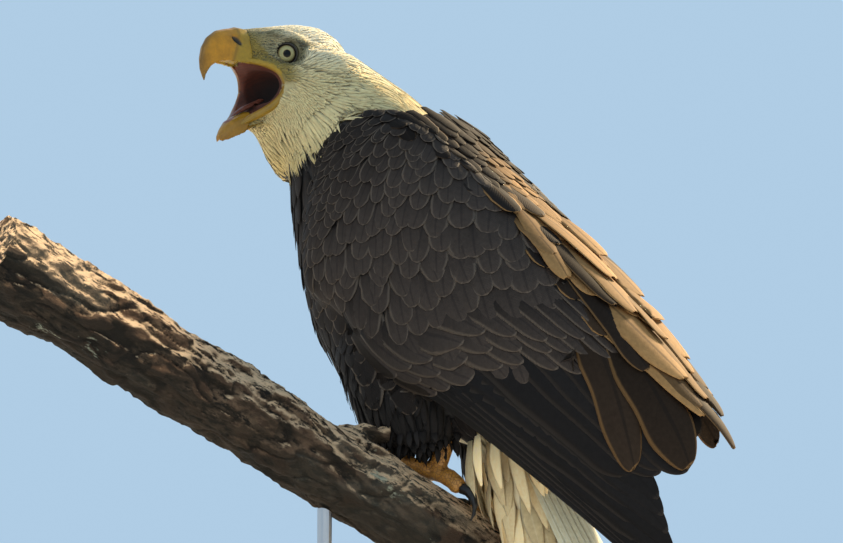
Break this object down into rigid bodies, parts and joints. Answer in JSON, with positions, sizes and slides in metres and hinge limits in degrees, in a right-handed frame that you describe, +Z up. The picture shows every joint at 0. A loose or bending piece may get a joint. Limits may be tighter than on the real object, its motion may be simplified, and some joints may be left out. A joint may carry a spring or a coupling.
{
  "type": "bald eagle model",
  "caption": "Life-size bald eagle model calling from a sloping branch, with its head turned to the left, held on a plain round display stand.",
  "frame": {"origin": "middle of the underside of the stand's base, on the floor", "axes": "+Z up; the bird's body faces -Y, so its left side is towards +X, and its head is turned towards +X"},
  "size_m": [0.6324, 0.5173, 0.7281],
  "materials": {
    "brown_plumage": "dark brown feathers with paler rims",
    "flight_feathers": "smooth blackish-brown feathers",
    "white_plumage": "creamy white feathers",
    "bill": "satin yellow horn",
    "mouth": "moist dark pink skin",
    "eye": "pale cream iris under a clear cornea",
    "foot_scales": "yellow scaly skin",
    "claw": "satin black horn",
    "bark": "rough grey-brown bark with lichen",
    "stand_wood": "dark stained hardwood, satin",
    "stand_steel": "satin steel rod"
  },
  "bodies": {
    "root": {"bill_lower": "bill", "bill_upper": "bill", "claw_left_hind": "claw", "claw_left_inner": "claw", "claw_left_middle": "claw", "claw_left_outer": "claw", "claw_right_hind": "claw", "claw_right_inner": "claw", "claw_right_middle": "claw", "claw_right_outer": "claw", "eye_left": "eye", "eye_right": "eye", "foot_left": "foot_scales", "foot_right": "foot_scales", "head": "white_plumage", "neck": "white_plumage", "perch_branch": "bark", "stand_base": "stand_wood", "stand_rod_lower": "stand_steel", "stand_rod_upper": "stand_steel", "tail": "white_plumage", "tail_coverts_under": "white_plumage", "thigh_left": "brown_plumage", "thigh_right": "brown_plumage", "tongue": "mouth", "trunk": "brown_plumage", "wing_left": "brown_plumage", "wing_left_primaries": "flight_feathers", "wing_left_secondaries": "flight_feathers", "wing_right": "brown_plumage", "wing_right_primaries": "flight_feathers", "wing_right_secondaries": "flight_feathers"}
  },
  "joints": []
}
